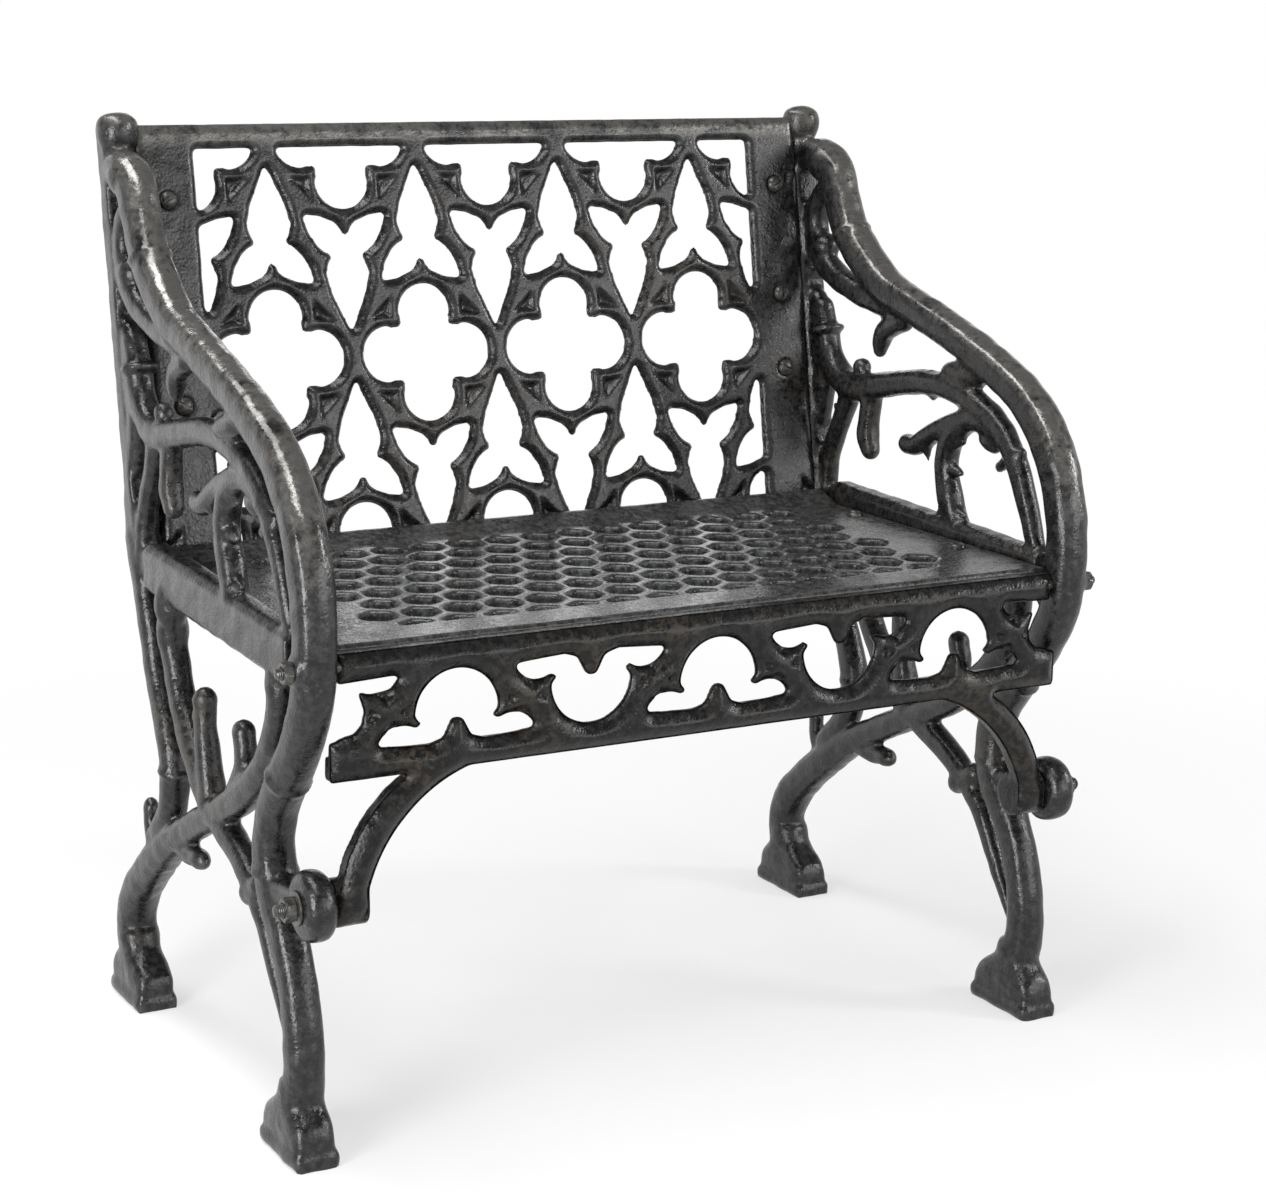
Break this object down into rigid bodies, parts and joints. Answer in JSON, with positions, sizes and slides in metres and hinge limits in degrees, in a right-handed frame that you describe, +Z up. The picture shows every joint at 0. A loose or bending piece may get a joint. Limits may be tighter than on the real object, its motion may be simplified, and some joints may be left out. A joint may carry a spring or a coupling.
{
  "type": "garden bench",
  "caption": "Cast iron garden bench with branch-pattern end frames, pierced Gothic tracery back, honeycomb seat plate and pierced front apron on curved brackets, bolted together.",
  "frame": {"origin": "on the ground, below the middle of the bench", "axes": "+X along the seat to the sitter's left, which is the viewer's right; -Y the way the bench faces; +Z up"},
  "size_m": [0.825, 0.525, 0.86],
  "materials": {
    "casting": "worn black paint over rough sand-cast iron, polished by use on the arms",
    "fastener": "dark iron with traces of rust and green corrosion"
  },
  "bodies": {
    "root": {"left_end_frame": "casting", "right_end_frame": "casting", "back_panel": "casting", "seat_grille": "casting", "front_apron": "casting", "left_brace_stud": "fastener", "left_brace_washer": "fastener", "left_brace_nut": "fastener", "left_rail_stud": "fastener", "left_rail_nut": "fastener", "left_back_screws": "fastener", "left_back_nuts": "fastener", "left_seat_screws": "fastener", "left_seat_nuts": "fastener", "right_brace_stud": "fastener", "right_brace_washer": "fastener", "right_brace_nut": "fastener", "right_rail_stud": "fastener", "right_rail_nut": "fastener", "right_back_screws": "fastener", "right_back_nuts": "fastener", "right_seat_screws": "fastener", "right_seat_nuts": "fastener"}
  },
  "joints": []
}
